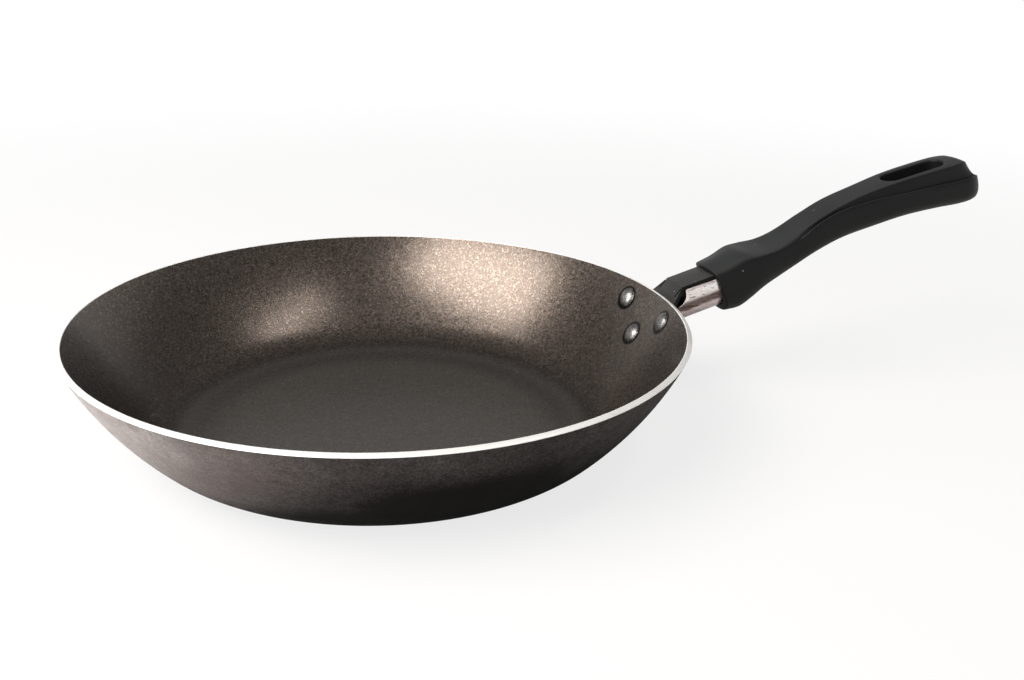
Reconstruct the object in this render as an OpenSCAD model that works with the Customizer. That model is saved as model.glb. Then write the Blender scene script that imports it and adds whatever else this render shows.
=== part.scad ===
// Frying pan with a riveted handle: stamped bowl, bracket, flame guard and moulded grip.
// The origin is the centre of the underside. The handle points along +X.

/* [Bowl] */
// Outer radius of the rim
rim_r = 140; // [110:1:170]
// Height of the rim's outer edge
rim_h = 53; // [46:0.5:64]
// Thickness of the sheet
sheet_t = 2.5; // [1.5:0.1:4]
// Outer radius of the tight bend between base and wall
corner_r = 38; // [30:1:44]
// Slope of the wall where the tight bend ends
corner_slope = 44; // [38:1:48]
// Slope of the wall at the rim
rim_slope = 65; // [60:1:72]

/* [Rivets] */
// Distance between the two upper rivets
rivet_pitch = 40; // [30:1:48]
// Distance down the wall from the rim to the upper rivets
rivet_drop = 9.5; // [8.5:0.5:12]
// Distance down the wall from the upper rivets to the lower one
rivet_row = 14; // [11:0.5:18]
// Diameter of the shank
rivet_d = 5; // [4:0.1:6]
// Diameter of the domed head inside the bowl
rivet_head_d = 9.4; // [8:0.1:12]
// Height of the domed head
rivet_head_h = 2; // [1.2:0.1:3]
// Diameter of the flattened tail outside
rivet_tail_d = 8; // [7:0.1:10]
// Height of the flattened tail
rivet_tail_h = 1.6; // [1:0.1:3]

/* [Bracket] */
// Thickness of the bracket's sheet
bracket_t = 2; // [1.2:0.1:2.5]
// Width of the arm
arm_w = 16; // [13:0.5:20]
// Tilt of the arm above level
arm_tilt = 15; // [8:1:20]
// Distance from the rim's outer edge to the bend, measured level
bend_out = 8; // [7:0.5:12]
// Height of the bend above the rim's outer edge
bend_up = 5; // [4:0.5:8]
// Slope of the foot between the bend and the wall
foot_slope = 50; // [45:1:58]
// Half width of the foot where it meets the wall
foot_flare = 14; // [11:0.5:16]
// Length of the slit at each side of the foot
slit_l = 5; // [3:0.5:6]
// Depth of the arm's turned down sides
arm_h = 8; // [6:0.5:9]
// Length of the arm past the bend
arm_l = 52; // [46:1:58]
// Margin of the riveting plate around each rivet's centre
plate_margin = 7; // [6:0.5:9]

/* [Flame guard] */
// Depth of the trough from its top edges
guard_h = 17.5; // [14:0.5:21]
// Distance of its top edges below the top of the arm
guard_drop = 1.4; // [1:0.1:2]
// Thickness of its sheet
guard_t = 0.8; // [0.5:0.1:1]
// Gap between each side of the arm and the trough
guard_play = 1.2; // [0.8:0.1:2]
// Radius of the scallop in its front edge
scallop_r = 6; // [4:0.5:7]
// Length of the trough inside the grip
guard_inside = 13; // [8:1:15]

/* [Grip] */
// Distance from the bend to the grip's mouth, along the arm
mouth_at = 16.5; // [14:0.5:20]
// Length of the grip
grip_l = 160; // [130:1:195]
// Thickness of the collar beside the trough
collar_side = 2.2; // [1.6:0.1:4]
// Thickness of the collar under the trough
collar_floor = 2.3; // [1.6:0.1:4]
// Height of the collar above the arm
mouth_cover = 3; // [2:0.5:5]
// Width of the slim part behind the collar
neck_w = 23; // [20.5:0.5:28]
// Height of the slim part behind the collar
neck_h = 16.5; // [15.5:0.5:20]
// Width near the tail
tail_w = 28; // [24:0.5:34]
// Height near the tail
tail_h = 22; // [18:0.5:26]
// Width of the flat top land behind the collar
land_front_w = 24; // [18:0.5:25]
// Width of the flat top land along the middle
land_mid_w = 17; // [12:0.5:18]
// Rise of the tail's top above the top of the arm
tail_rise = 13.5; // [8:0.5:18]
// Depth of the upper half at the tail, down to the ridge
ridge_drop = 8.5; // [6:0.5:10]
// Depth of the groove above the ridge
groove_h = 0.9; // [0.4:0.1:1.5]
// Distance that the lower half reaches past the upper half
lip_l = 5; // [3:0.5:10]
// Rake of the mouth, as length per unit of depth
mouth_rake = 0.15; // [0:0.05:0.3]
// Distance that the sides of the mouth stand back from its middle
mouth_sweep = 2.5; // [0:0.5:4]

/* [Hanging slot] */
// Length of the slot
slot_l = 35.5; // [20:0.5:40]
// Width of the slot
slot_w = 12; // [8:0.5:13]
// Distance from the tail's end to the slot
slot_end = 18.5; // [16:0.5:30]

/* [Screw] */
// Distance from the mouth to the screw
screw_at = 27; // [22:1:30]
// Diameter of the screw
screw_d = 5; // [4:0.5:5]
// Diameter of the screw's head
head_d = 9; // [8:0.5:10]
// Height of the screw's head
head_h = 2.6; // [2:0.1:3]
// Thickness of the spring washer
washer_t = 1.2; // [0.8:0.1:1.5]
// Thickness of the nut
nut_h = 4; // [3:0.1:5]
// Depth of the grip's floor under the washer
floor_t = 4; // [3:0.1:4.5]

/* [Clearances] */
// Play around the arm and the guard in the grip
fit_gap = 0.3; // [0.2:0.05:0.5]
// Play around the nut, and between screw and holes
small_gap = 0.25; // [0.1:0.05:0.4]
// Gap under a rivet's flat faces on the curved wall
seat_gap = 0.12; // [0.1:0.01:0.3]

/* [Hidden] */
$fn = 96;
big = 400;
eps = 0.01;

// The wall is two arcs, tangent to the base and to each other. The second one ends at the rim.
wall_r = (rim_h - corner_r * (1 - cos(corner_slope))) / (cos(corner_slope) - cos(rim_slope));
base_r = rim_r - corner_r * sin(corner_slope) - wall_r * (sin(rim_slope) - sin(corner_slope));
corner_c = [base_r, corner_r];
wall_c = [rim_r - wall_r * sin(rim_slope), rim_h + wall_r * cos(rim_slope)];

// Point of the outer wall, in radius and height, at a distance along the wall from the rim
function wall_slope(drop) = rim_slope - drop / wall_r * 180 / PI;
function wall_point(drop) =
    wall_c + wall_r * [sin(wall_slope(drop)), -cos(wall_slope(drop))];

// Rivets: [azimuth, distance down the wall]
rivet_turn = asin(rivet_pitch / 2 / wall_point(rivet_drop)[0]);
rivet_spots = [
    [rivet_turn, rivet_drop],
    [-rivet_turn, rivet_drop],
    [0, rivet_drop + rivet_row],
];

bend_x = rim_r + bend_out;
bend_z = rim_h + bend_up;
plate_top = 3.4;
plate_half = asin((rivet_pitch / 2 + plate_margin) / rim_r) + 1;
foot_l = bend_out / cos(foot_slope) + bracket_t;
slit_w = 1;

guard_w = arm_w + 2 * (guard_t + guard_play);
guard_top = -guard_drop;
guard_bottom = guard_top - guard_h;
guard_r = guard_w / 2;
guard_front = -16;
guard_end = mouth_at + guard_inside;
scallop_x = 1 - scallop_r;
scallop_z = guard_top - 1.6;
wall_gap = 0.4;

screw_x = mouth_at + screw_at;
floor_top = -arm_h;
washer_top = floor_top - floor_t;
head_top = washer_top - washer_t;
head_bottom = head_top - head_h;
screw_tip = -bracket_t / 2;
washer_d = head_d;
nut_w = arm_w - 2 * bracket_t - 2 * small_gap;

collar_w = guard_w + 2 * (fit_gap + collar_side);
collar_h = mouth_cover - guard_bottom + fit_gap + collar_floor;
grip_end = mouth_at + grip_l;
slot_x = grip_end - slot_end - slot_l / 2;

// ---------- bowl ----------

// Sector of a flat ring around c, between the slopes a and b
module ring_sector(c, r_out, r_in, a, b) {
    reach = r_out / cos((b - a) / 2) + 1;
    translate(c)
        intersection() {
            difference() {
                circle(r_out, $fn = 360);
                circle(r_in, $fn = 360);
            }
            polygon([
                [0, 0],
                reach * [sin(a), -cos(a)],
                reach * [sin((a + b) / 2), -cos((a + b) / 2)],
                reach * [sin(b), -cos(b)],
            ]);
        }
}

module bowl_section() {
    square([base_r, sheet_t]);
    ring_sector(corner_c, corner_r, corner_r - sheet_t, 0, corner_slope);
    ring_sector(wall_c, wall_r, wall_r - sheet_t, corner_slope, rim_slope);
}

// Places its children on the wall, with +Z pointing out of the bowl and z = 0 on the outer surface
module on_wall(spot) {
    p = wall_point(spot[1]);
    rotate([0, 0, spot[0]])
        translate([p[0], 0, p[1]])
            rotate([0, 180 - wall_slope(spot[1]), 0])
                children();
}

module pan_body() {
    color([0.24, 0.22, 0.21])
        difference() {
            rotate_extrude($fn = 180) bowl_section();
            for (spot = rivet_spots)
                on_wall(spot)
                    translate([0, 0, -sheet_t - 5])
                        cylinder(d = rivet_d, h = sheet_t + 10);
        }
}

// ---------- rivets ----------

module rivet(spot) {
    dome_r = (pow(rivet_head_d / 2, 2) + pow(rivet_head_h, 2)) / (2 * rivet_head_h);
    head_z = -sheet_t - seat_gap;
    tail_z = bracket_t + seat_gap;
    color([0.8, 0.79, 0.77])
        on_wall(spot) {
            translate([0, 0, head_z])
                cylinder(d = rivet_d, h = tail_z - head_z + rivet_tail_h / 2);
            intersection() {
                translate([0, 0, head_z - rivet_head_h + dome_r])
                    sphere(dome_r);
                translate([0, 0, head_z - rivet_head_h])
                    cylinder(d = rivet_head_d + 1, h = rivet_head_h);
            }
            translate([0, 0, tail_z])
                cylinder(d = rivet_tail_d, h = rivet_tail_h);
        }
}

module rivet_left() { rivet(rivet_spots[0]); }
module rivet_right() { rivet(rivet_spots[1]); }
module rivet_lower() { rivet(rivet_spots[2]); }

// ---------- bracket ----------

// Frame of the arm: +X along the arm, +Z out of its top face, origin at the bend
module arm_frame() {
    translate([bend_x, 0, bend_z])
        rotate([0, -arm_tilt, 0])
            children();
}

// Flat outline around three centres, each with the margin r, as arcs and their common tangents
module tangent_outline(centres, r) {
    count = len(centres);
    for (c = centres) translate(c) circle(r);
    polygon([
        for (i = [0:count - 1])
            let (a = centres[i], b = centres[(i + 1) % count], d = (b - a) / norm(b - a))
                each [a + r * [d[1], -d[0]], b + r * [d[1], -d[0]]]
    ]);
}

// Plate that lies on the outside of the wall around the rivets
module rivet_plate() {
    low = wall_point(rivet_spots[2][1])[1];
    high = wall_point(rivet_spots[0][1])[1];
    half = rivet_pitch / 2;
    intersection() {
        rotate([0, 0, -plate_half])
            rotate_extrude(angle = 2 * plate_half, $fn = 180)
                ring_sector(wall_c, wall_r + bracket_t, wall_r, corner_slope, wall_slope(plate_top));
        translate([rim_r - 40, 0, 0])
            rotate([90, 0, 90])
                linear_extrude(60)
                    tangent_outline([[0, low], [half, high], [-half, high]], plate_margin);
    }
}

// Sloping plate from the bend to the wall, wider at the wall
module foot() {
    translate([bend_x, 0, bend_z])
        rotate([0, -foot_slope, 0])
            translate([0, 0, -bracket_t])
                difference() {
                    linear_extrude(bracket_t)
                        polygon([
                            [0, -arm_w / 2], [0, arm_w / 2],
                            [-foot_l, foot_flare], [-foot_l, -foot_flare],
                        ]);
                    for (side = [-1, 1])
                        translate([-slit_l - 1, side * arm_w / 2 - slit_w / 2, -1])
                            cube([slit_l, slit_w, bracket_t + 2]);
                }
}

module bracket() {
    color([0.13, 0.13, 0.13])
        difference() {
            union() {
                rivet_plate();
                difference() {
                    foot();
                    wall_solid(0);
                }
                arm_frame()
                    difference() {
                        translate([-eps, -arm_w / 2, -arm_h])
                            cube([arm_l, arm_w, arm_h]);
                        translate([-1, -arm_w / 2 + bracket_t, -arm_h - 1])
                            cube([arm_l + 2, arm_w - 2 * bracket_t, arm_h - bracket_t + 1]);
                    }
            }
            for (spot = rivet_spots)
                on_wall(spot)
                    translate([0, 0, -5])
                        cylinder(d = rivet_d, h = 15);
            arm_frame()
                translate([screw_x, 0, -arm_h])
                    cylinder(d = screw_d + 2 * small_gap, h = arm_h + 5);
        }
}

// Everything inside the wall's outer surface, grown by a gap
module wall_solid(gap) {
    rotate_extrude($fn = 180)
        intersection() {
            square([big, rim_h + bend_up]);
            translate(wall_c) circle(wall_r + gap, $fn = 360);
        }
}

// ---------- flame guard ----------

module guard_section(grow) {
    r = guard_r + grow;
    translate([0, guard_bottom + guard_r]) {
        intersection() {
            circle(r);
            translate([-r, -r])
                square([2 * r, r]);
        }
        translate([-r, 0])
            square([2 * r, guard_h - guard_r]);
    }
}

module flame_guard() {
    color([0.72, 0.7, 0.68])
        difference() {
            arm_frame()
                difference() {
                    translate([guard_front, 0, 0])
                        rotate([90, 0, 90])
                            linear_extrude(guard_end - guard_front)
                                difference() {
                                    guard_section(0);
                                    guard_section(-guard_t);
                                    translate([-guard_r + guard_t, guard_top - 1])
                                        square([guard_w - 2 * guard_t, 2]);
                                }
                    translate([scallop_x, 0, scallop_z])
                        rotate([90, 0, 0])
                            cylinder(r = scallop_r, h = guard_w + 2, center = true);
                    translate([guard_front - 1, -guard_r - 1, scallop_z])
                        cube([scallop_x + scallop_r - guard_front + 1, guard_w + 2, 10]);
                    translate([guard_front - 1, -guard_r - 1, scallop_z - scallop_r])
                        cube([scallop_x - guard_front + 1, guard_w + 2, 20]);
                }
            wall_solid(bracket_t + wall_gap);
            translate([bend_x, 0, bend_z])
                rotate([0, -foot_slope, 0])
                    translate([-foot_l - 5, -guard_r - 1, -bracket_t - wall_gap])
                        cube([foot_l + 5, guard_w + 2, 10]);
        }
}

// ---------- grip ----------

// Stations along the grip: [share of its length, top above the arm, height, half width,
// half width of the land, crown of the land, half width of the ridge, drop of the ridge, groove]
bump_rise = 5.2;
dip_rise = 2.5;
collar_v = collar_w / 2;
neck_v = neck_w / 2;
tail_v = tail_w / 2;
front_v = land_front_w / 2;
mid_v = land_mid_w / 2;
ridge_v = tail_v - 1;
grip_stations = [
    [0.000, mouth_cover, collar_h, collar_v, collar_v - 3, 1.6, collar_v - 0.4, 4.5, 0],
    [0.055, mouth_cover + 1.2, collar_h + 2, collar_v + 0.8, collar_v - 3, 1.8, collar_v, 5, 0],
    [0.110, bump_rise, collar_h + 0.5, collar_v + 1.2, collar_v - 2, 1, collar_v + 0.3, 4, 0],
    [0.160, bump_rise - 1.6, neck_h + 4, collar_v + 0.9, front_v, 0.3, front_v + 0.8, 2, 0],
    [0.220, dip_rise, neck_h + 0.6, neck_v + 0.7, front_v - 1, 0, neck_v, 1.2, 0],
    [0.280, dip_rise + 1.6, neck_h, neck_v, mid_v + 0.5, 0, neck_v - 1.6, 1, 0.3],
    [0.370, tail_rise - 5.3, neck_h + 0.6, neck_v, mid_v, 0, neck_v - 1.5, 1.3, groove_h],
    [0.465, tail_rise - 2, neck_h + 1.7, neck_v + 0.3, mid_v, 0, neck_v - 1, 1.7, groove_h],
    [0.575, tail_rise - 0.3, tail_h - 2.3, tail_v - 1.5, mid_v - 0.3, 0.2, ridge_v - 1.7, 3.7, groove_h],
    [0.695, tail_rise + 0.2, tail_h - 1.5, tail_v - 0.6, mid_v + 1, 0.3, ridge_v, ridge_drop - 2.4, groove_h],
    [0.815, tail_rise - 0.5, tail_h, tail_v, mid_v + 1.7, 0.4, ridge_v, ridge_drop - 0.8, groove_h],
    [0.900, tail_rise - 1.4, tail_h + 1.4, tail_v, mid_v + 1.7, 0.5, ridge_v, ridge_drop, groove_h],
    [1.000, tail_rise - 3.2, tail_h + 0.8, tail_v, mid_v + 1.2, 0.5, ridge_v, ridge_drop, groove_h],
];
edge_r = 0.8;
groove_w = 1.1;
tail_round = 14;
upper_round = 10;
upper_l = grip_l - lip_l;
upper_edge = 6.5;
lower_edge = 6.5;
mouth_fade = 30;
body_rings = 32;

// Slope of a column of the table at row i, and its value at a share t of the length
function station_slope(i, c) =
    let (a = max(i - 1, 0), b = min(i + 1, len(grip_stations) - 1))
        (grip_stations[b][c] - grip_stations[a][c]) / (grip_stations[b][0] - grip_stations[a][0]);
function station_row(t, i = 0) =
    i >= len(grip_stations) - 2 || t < grip_stations[i + 1][0] ? i : station_row(t, i + 1);
function station_value(t, c) =
    let (
        i = station_row(t),
        span = grip_stations[i + 1][0] - grip_stations[i][0],
        u = (t - grip_stations[i][0]) / span,
        a = grip_stations[i][c],
        b = grip_stations[i + 1][c],
        sa = station_slope(i, c) * span,
        sb = station_slope(i + 1, c) * span
    )
    a + u * (sa + u * (3 * (b - a) - 2 * sa - sb + u * (2 * (a - b) + sa + sb)));

// Share left at a distance before the end of a round of radius r
function round_off(left, r) = left >= r ? 1 : sqrt(max(0, 1 - pow((r - left) / r, 2)));

// Half of the grip's section at a distance a from the mouth, from top centre to bottom centre
function half_section(a) =
    let (
        t = a / grip_l,
        upper = round_off(upper_l - a, upper_edge),
        narrow = round_off(max(upper_l - a, 0.5), upper_round),
        wide = round_off(grip_l - a + 0.05, tail_round),
        low = round_off(grip_l - a + 0.05, lower_edge),
        depth = station_value(t, 2),
        drop = station_value(t, 7),
        lower_h = (depth - drop) / 2,
        mid = station_value(t, 1) - drop - lower_h,
        ridge_z = mid + lower_h * low,
        top = ridge_z + drop * upper,
        w = station_value(t, 3) * wide,
        rw = station_value(t, 6) * wide,
        land = min(station_value(t, 4) * narrow, rw - 0.5),
        crown = station_value(t, 5) * upper,
        edge = edge_r * max(upper, 0.3),
        widest = mid + lower_h * low * 0.3
    )
    concat(
        [
            [0, top],
            [land * 0.5, top - crown * 0.25],
            [land - edge, top - crown * 0.8],
            [land, top - crown - edge * 0.5 * upper],
            [rw - groove_w * max(upper, 0.3), ridge_z - station_value(t, 8) * upper],
            [rw, ridge_z],
            [rw + (w - rw) * 0.6, ridge_z - 0.25 * lower_h * low],
        ],
        [
            for (k = [0:10:90])
                [w * pow(cos(k), 0.7), widest - (widest - mid + lower_h * low) * pow(sin(k), 0.8)]
        ]
    );

grip_rings = concat(
    [for (i = [0:body_rings]) i / body_rings * (upper_l - upper_edge - 1)],
    [for (k = [5, 20, 38, 58, 78]) upper_l - upper_edge * (1 - sin(k))],
    [for (k = [1, 15, 30, 45, 60, 75, 90]) upper_l + lip_l * sin(k)]
);

function grip_ring(a) =
    let (
        half = half_section(a),
        n = len(half),
        top = half[0][1],
        fade = max(0, 1 - a / mouth_fade)
    )
    [
        for (p = concat(half, [for (i = [n - 2:-1:1]) [-half[i][0], half[i][1]]]))
            let (lean = mouth_rake * (top - p[1]), sweep = mouth_sweep * pow(2 * p[0] / collar_w, 2))
                [mouth_at + a + fade * (lean + sweep), p[0], p[1]]
    ];

module grip_body() {
    rings = [for (a = grip_rings) grip_ring(a)];
    n = len(rings[0]);
    last = len(rings) - 1;
    first_mid = len(rings) * n;
    last_mid = first_mid + 1;
    sides = [
        for (i = [0:last - 1], j = [0:n - 1])
            let (a = i * n + j, b = i * n + (j + 1) % n)
                each [[a, b, a + n], [b, b + n, a + n]]
    ];
    caps = [
        for (j = [0:n - 1])
            let (k = (j + 1) % n)
                each [[k, j, first_mid], [last * n + j, last * n + k, last_mid]]
    ];
    polyhedron(
        points = concat([for (ring = rings) each ring], [ring_centre(rings[0]), ring_centre(rings[last])]),
        faces = concat(sides, caps)
    );
}

function ring_centre(ring) = (ring[0] + ring[len(ring) / 2]) / 2;

// Pocket for the guard and slot for the arm, open at the mouth
module grip_socket() {
    depth = guard_end + fit_gap;
    rotate([90, 0, 90])
        linear_extrude(depth) {
            guard_section(fit_gap);
            translate([-guard_r - fit_gap, guard_bottom + guard_r])
                square([guard_w + 2 * fit_gap, guard_h - guard_r + fit_gap]);
        }
    translate([0, -arm_w / 2 - fit_gap, -arm_h])
        cube([arm_l + fit_gap, arm_w + 2 * fit_gap, arm_h + fit_gap]);
}

module hanging_slot() {
    half = (slot_l - slot_w) / 2;
    translate([slot_x, 0, -big / 8]) {
        for (side = [-1, 1])
            translate([side * half, 0, 0])
                cylinder(d = slot_w, h = big / 4);
        translate([-half, -slot_w / 2, 0])
            cube([2 * half, slot_w, big / 4]);
    }
}

module grip() {
    color([0.15, 0.155, 0.155])
        arm_frame()
            difference() {
                grip_body();
                grip_socket();
                hanging_slot();
                translate([screw_x, 0, -arm_h - floor_t - 1])
                    cylinder(d = screw_d + 2 * small_gap, h = floor_t + 2);
                translate([screw_x, 0, washer_top - 20])
                    cylinder(d = head_d + 2 * small_gap, h = 20);
            }
}

// ---------- screw, washer and nut ----------

module grip_screw() {
    color([0.6, 0.6, 0.6])
        arm_frame()
            translate([screw_x, 0, 0])
                difference() {
                    union() {
                        translate([0, 0, head_bottom])
                            cylinder(d = head_d, h = head_h);
                        translate([0, 0, head_top - 1])
                            cylinder(d = screw_d, h = screw_tip - head_top + 1);
                    }
                    for (turn = [0, 90])
                        translate([0, 0, head_bottom])
                            rotate([0, 0, turn])
                                cube([head_d * 0.55, 1, head_h], center = true);
                }
}

module spring_washer() {
    color([0.55, 0.55, 0.55])
        arm_frame()
            translate([screw_x, 0, head_top])
                difference() {
                    cylinder(d = washer_d, h = washer_t);
                    translate([0, 0, -1])
                        cylinder(d = screw_d + 2 * small_gap, h = washer_t + 2);
                    translate([0, -0.4, -1])
                        cube([washer_d, 0.8, washer_t + 2]);
                }
}

module square_nut() {
    color([0.62, 0.6, 0.55])
        arm_frame()
            translate([screw_x, 0, -bracket_t - nut_h])
                difference() {
                    translate([-nut_w / 2, -nut_w / 2, 0])
                        cube([nut_w, nut_w, nut_h]);
                    translate([0, 0, -1])
                        cylinder(d = screw_d + 0.1, h = nut_h + 2);
                }
}

pan_body();
rivet_left();
rivet_right();
rivet_lower();
bracket();
flame_guard();
grip();
grip_screw();
spring_washer();
square_nut();
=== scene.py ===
"""Frying pan with a scorched outer wall, a riveted bracket and a moulded grip."""

import math

import bmesh
import bpy
from bpy.props import FloatProperty, FloatVectorProperty
from mathutils import Matrix, Vector


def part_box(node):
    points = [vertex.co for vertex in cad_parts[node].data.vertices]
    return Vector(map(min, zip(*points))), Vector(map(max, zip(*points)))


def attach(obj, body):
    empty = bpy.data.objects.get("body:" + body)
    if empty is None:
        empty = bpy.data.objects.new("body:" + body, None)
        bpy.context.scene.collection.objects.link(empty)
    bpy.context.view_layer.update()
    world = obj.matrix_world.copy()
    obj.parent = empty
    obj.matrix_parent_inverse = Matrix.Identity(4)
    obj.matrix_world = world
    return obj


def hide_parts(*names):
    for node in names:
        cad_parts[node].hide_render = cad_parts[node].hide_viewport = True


bl_info = {
    "name": "Burnt frying pan",
    "version": (1, 0, 0),
    "blender": (4, 5, 0),
    "location": "3D View > Sidebar > Pan",
    "description": "Builds a used frying pan, piece by piece, with its finishes and its stage",
    "category": "Object",
}

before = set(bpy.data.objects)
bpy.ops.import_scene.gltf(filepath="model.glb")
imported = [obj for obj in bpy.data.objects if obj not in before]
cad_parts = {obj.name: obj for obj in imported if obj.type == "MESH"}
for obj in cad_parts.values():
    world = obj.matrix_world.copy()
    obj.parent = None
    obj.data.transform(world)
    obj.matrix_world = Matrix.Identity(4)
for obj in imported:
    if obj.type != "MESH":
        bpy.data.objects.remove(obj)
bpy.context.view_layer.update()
MM = 0.001
# How far each rivet's centre stands below the rim, along the wall
RIVET_DROPS = {"left": 0.0095, "right": 0.0095, "lower": 0.0235}


# ---------- sizes and colours ----------


def length(name, description, default):
    return FloatProperty(name=name, description=description, default=default, unit="LENGTH", precision=4)


def angle(name, description, degrees):
    return FloatProperty(name=name, description=description, default=math.radians(degrees), unit="ROTATION")


def colour(name, description, default):
    return FloatVectorProperty(
        name=name, description=description, default=default, size=3, min=0, max=1, subtype="COLOR"
    )


class PanSizes(bpy.types.PropertyGroup):
    rim_radius: length("Rim radius", "Outer radius of the rim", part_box("pan_body")[1].x)
    rim_height: length("Rim height", "Height of the rim's outer edge", 0.053)
    sheet: length("Sheet", "Thickness of the bowl's sheet", 0.0025)
    corner_radius: length("Corner radius", "Outer radius of the bend between base and wall", 0.038)
    corner_slope: angle("Corner slope", "Slope of the wall where the tight bend ends", 44)
    rim_slope: angle("Rim slope", "Slope of the wall at the rim", 65)
    rim_round: length("Rim rounding", "Radius of the rounded edges of the rim", 0.00035)
    rivet_head: length("Rivet head", "Diameter of a rivet's domed head", 0.0101)
    rivet_rise: length("Rivet rise", "Height of a rivet's domed head", 0.0023)
    rivet_tail: length("Rivet tail", "Diameter of a rivet's flattened tail", 0.008)
    rivet_shank: length("Rivet shank", "Diameter of a rivet's shank", 0.005)
    rivet_gap: length("Rivet gap", "Gap between the sheets and a rivet's head or tail", 0.00012)
    plate: length("Riveting plate", "Thickness of the bracket's plate under a rivet's tail", 0.002)


class HandleSizes(bpy.types.PropertyGroup):
    bend_x: length("Bend distance", "Distance of the bracket's bend from the pan's centre", 0.148)
    bend_z: length("Bend height", "Height of the bracket's bend", 0.058)
    tilt: angle("Tilt", "Tilt of the arm above level", 15)
    mouth_at: length("Mouth", "Distance from the bend to the grip's mouth", 0.0165)
    screw_at: length("Screw place", "Distance from the bend to the grip's screw", 0.0435)
    screw_hole: length("Screw hole", "Diameter of the hole for the grip's screw", 0.0055)
    screw_recess: length("Screw recess", "Diameter of the recess for the screw's head", 0.0095)
    grip_length: length("Grip length", "Length of the grip", 0.160)
    lip: length("Lip", "Distance that the grip's lower half reaches past its upper half", 0.005)
    slot_length: length("Slot length", "Length of the hanging slot", 0.0355)
    slot_width: length("Slot width", "Width of the hanging slot", 0.012)
    slot_end: length("Slot place", "Distance from the tail's end to the hanging slot", 0.0185)
    slot_round: length("Slot rounding", "Radius of the hanging slot's edge", 0.0011)
    edge_wear: length("Bracket edge", "Width of the rounded edges of the bracket", 0.00035)
    guard_edge: length("Guard edge", "Width of the rounded edges of the flame guard", 0.00018)


class PanFinish(bpy.types.PropertyGroup):
    fleck: colour("Fleck", "Metallic sheen of the coating", (0.115, 0.096, 0.082))
    rosy_fleck: colour("Rosy fleck", "Mauve grains in the coating's sheen", (0.115, 0.0897, 0.0966))
    worn_floor: colour("Worn floor", "Grey of the coating on the floor of the bowl", (0.16, 0.163, 0.16))
    chip: colour("Chip", "Pale chips in the coating", (0.34, 0.31, 0.28))
    bare: colour("Bare aluminium", "Turned edge of the rim and the rivets", (0.9, 0.9, 0.89))
    # Dirt and painted shade at the edge of a rivet's head
    grime_and_shade: colour("Grime", "Dirt round the edge of a rivet's head", (0.012, 0.011, 0.01))
    wall_paint: colour("Wall paint", "Faded paint of the outer wall", (0.41, 0.382, 0.375))
    rosy_paint: colour("Rosy paint", "Rosy patches in the wall's paint", (0.34, 0.275, 0.28))
    brown_mark: colour("Brown mark", "Small brown marks on the wall's paint", (0.16, 0.12, 0.11))
    scorch: colour("Scorch", "Brown heat stain on the outer wall", (0.035, 0.022, 0.016))
    # This black is the soot of the outer wall, and also the colour of painted shade in the coating and low on
    # the outer wall
    soot_and_shade: colour("Soot", "Burnt on black of the lower wall and base", (0.0028, 0.0026, 0.0023))
    bracket_paint: colour("Bracket paint", "Black paint of the bracket", (0.016, 0.0165, 0.016))
    # Dust and painted light on the bracket's top faces
    bracket_dust_and_light: colour("Bracket dust", "Dust on the bracket's top faces", (0.06, 0.06, 0.058))
    primer: colour("Primer", "Grey metal under chipped paint", (0.5, 0.49, 0.47))
    # Painted shadow in the slits of the bend
    slit_shadow: colour("Slit", "Black of the slits in the bend", (0.0005, 0.0005, 0.0005))
    # Painted shadow on the near side of the bracket's arm
    flank_shadow: colour("Flank", "Matt black of the bracket's near side", (0.001, 0.001, 0.001))
    plating: colour("Plating", "Plated steel of the flame guard", (0.66, 0.6, 0.585))
    worn_plating: colour("Worn plating", "Streaks in the plating", (0.5, 0.4, 0.385))
    # Painted reflection low on the flame guard, in a rosy tone
    rosy_low_reflection: colour("Rosy plating", "Plating low on the flame guard", (0.5, 0.4, 0.41))
    # Painted highlight high on the flame guard
    highlight_plating: colour("Bright plating", "Plating high on the flame guard", (0.92, 0.89, 0.88))
    # Painted highlight on the front edge of the flame guard
    cut_edge_highlight: colour("Cut edge", "Front edge of the flame guard", (0.9, 0.88, 0.86))
    # Brown tarnish, also used for the painted dark reflection band along the guard
    tarnish_and_reflection: colour("Heat tint", "Brown tarnish of the flame guard", (0.07, 0.04, 0.032))
    grip: colour("Grip", "Moulded plastic of the grip", (0.0068, 0.0075, 0.0075))
    speck: colour("Speck", "Pale specks on the grip", (0.25, 0.23, 0.18))
    zinc: colour("Zinc", "Screw, washer and nut", (0.5, 0.5, 0.49))


# ---------- shader expressions ----------


class Wire:
    """A value socket in a finish. An operator on it adds the Math node for that operator."""

    def __init__(self, finish, socket):
        self.finish, self.socket = finish, socket

    def math(self, operation, *values, clamp=False):
        inputs = dict(enumerate((self, *values)))
        return self.finish.node("ShaderNodeMath", inputs, operation=operation, use_clamp=clamp)

    def __add__(self, other):
        return self.math("ADD", other)

    def __sub__(self, other):
        return self.math("SUBTRACT", other)

    def __rsub__(self, other):
        return self.math("MULTIPLY_ADD", -1.0, other)

    def __mul__(self, other):
        return self.math("MULTIPLY", other)

    def __truediv__(self, other):
        return self.math("DIVIDE", other)

    __radd__, __rmul__ = __add__, __mul__

    def clamp(self):
        return self.math("ADD", 0.0, clamp=True)

    def power(self, exponent):
        return self.math("POWER", exponent)

    def at_least(self, other):
        return self.math("MAXIMUM", other)

    def at_most(self, other):
        return self.math("MINIMUM", other)

    def step(self, low, high):
        """0 below low and 1 above high, smooth between. It falls instead if low is above high."""
        flip = low > high
        inputs = {"Value": self, "From Min": min(low, high), "From Max": max(low, high)}
        made = self.finish.node("ShaderNodeMapRange", inputs, interpolation_type="SMOOTHSTEP")
        return 1 - made if flip else made


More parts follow.
